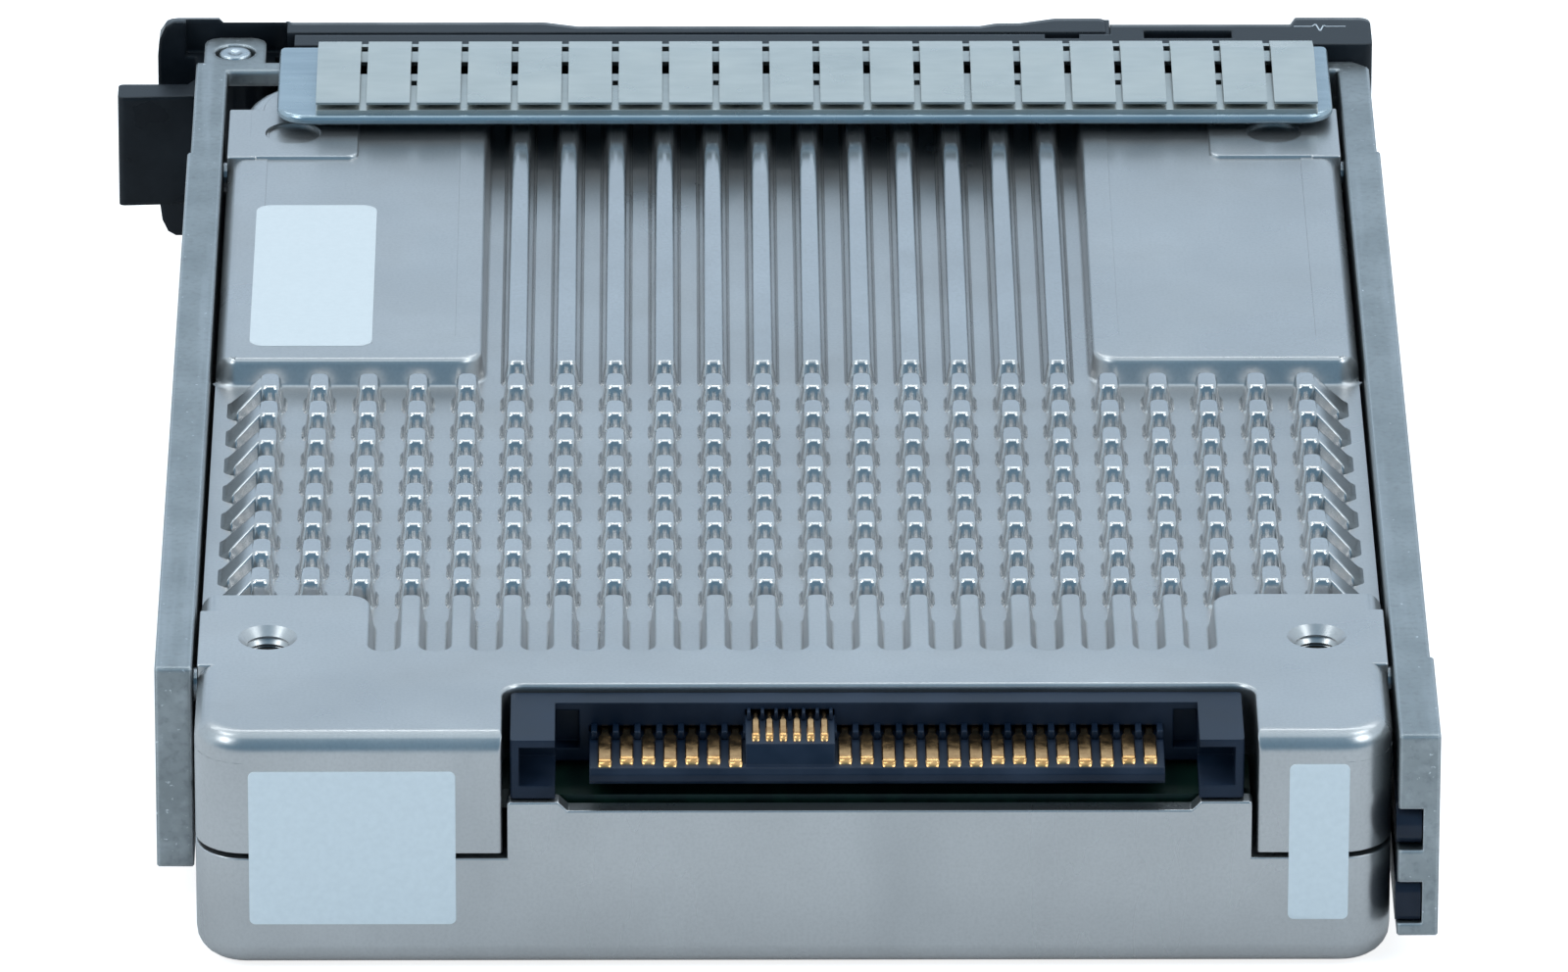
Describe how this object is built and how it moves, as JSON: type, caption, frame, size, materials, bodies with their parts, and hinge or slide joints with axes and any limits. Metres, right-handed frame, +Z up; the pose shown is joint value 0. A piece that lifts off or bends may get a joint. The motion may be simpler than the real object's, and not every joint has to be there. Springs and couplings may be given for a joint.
{
  "type": "solid state drive",
  "caption": "Hot-swap solid state drive with a finned cast case and edge plug, held in a railed carrier with spring fingers, a bezel, a swinging lever and a sliding latch.",
  "frame": {"origin": "middle of the face that the drive rests on, halfway between the connector end and the far end of its case", "axes": "+Y from the connector end towards the bezel, +Z up from the resting face to the fins, +X towards the rail with the light pipes"},
  "size_m": [0.0798, 0.109, 0.0173],
  "materials": {
    "cast_aluminium": "fine cast, satin",
    "cast_zinc": "cast metal with a thin dull coat",
    "zinc_plate": "plated sheet, satin",
    "spring_steel": "plated spring strip, satin",
    "screw_steel": "plated steel",
    "black_plastic": "fine grained moulding",
    "navy_plastic": "smooth moulding",
    "pipe_plastic": "clear light pipe seen dark in its groove",
    "board_green": "solder mask",
    "chip_black": "moulded package",
    "pad_grey": "soft heat transfer pad",
    "gold": "gold plated"
  },
  "bodies": {
    "drive_and_carrier": {"finned_case": "cast_aluminium", "cover_case": "cast_aluminium", "carrier_frame": "cast_zinc", "shielding_plate": "zinc_plate", "spring_fingers": "spring_steel", "latch_spring": "spring_steel", "case_screw_1": "screw_steel", "case_screw_2": "screw_steel", "case_screw_3": "screw_steel", "case_screw_4": "screw_steel", "side_screw_1": "screw_steel", "side_screw_2": "screw_steel", "side_screw_3": "screw_steel", "side_screw_4": "screw_steel", "pivot_pin": "screw_steel", "bezel": "black_plastic", "connector_housing": "navy_plastic", "lower_light_pipe": "pipe_plastic", "upper_light_pipe": "pipe_plastic", "circuit_board": "board_green", "controller_chip": "chip_black", "flash_chip_1": "chip_black", "flash_chip_2": "chip_black", "flash_chip_3": "chip_black", "flash_chip_4": "chip_black", "memory_chip": "chip_black", "capacitor_1": "chip_black", "capacitor_2": "chip_black", "thermal_pad": "pad_grey", "signal_contact_1": "gold", "signal_contact_2": "gold", "signal_contact_3": "gold", "signal_contact_4": "gold", "signal_contact_5": "gold", "signal_contact_6": "gold", "signal_contact_7": "gold", "power_contact_1": "gold", "power_contact_2": "gold", "power_contact_3": "gold", "power_contact_4": "gold", "power_contact_5": "gold", "power_contact_6": "gold", "power_contact_7": "gold", "power_contact_8": "gold", "power_contact_9": "gold", "power_contact_10": "gold", "power_contact_11": "gold", "power_contact_12": "gold", "power_contact_13": "gold", "power_contact_14": "gold", "power_contact_15": "gold", "auxiliary_contact_1": "gold", "auxiliary_contact_2": "gold", "auxiliary_contact_3": "gold", "auxiliary_contact_4": "gold", "auxiliary_contact_5": "gold", "auxiliary_contact_6": "gold"},
    "lever": {"lever": "black_plastic"},
    "release_latch": {"release_latch": "black_plastic"}
  },
  "joints": [
    {"name": "lever_hinge", "type": "hinge", "parent": "drive_and_carrier", "child": "lever", "pos_m": [-0.0348, 0.05368, 0.0085], "axis": [0, 0, 1], "range_deg": [0, 45]},
    {"name": "latch_slide", "type": "slide", "parent": "drive_and_carrier", "child": "release_latch", "axis": [1, 0, 0], "range_m": [0, 0.002], "stiffness_N_per_m": 400, "springref_m": -0.001}
  ]
}
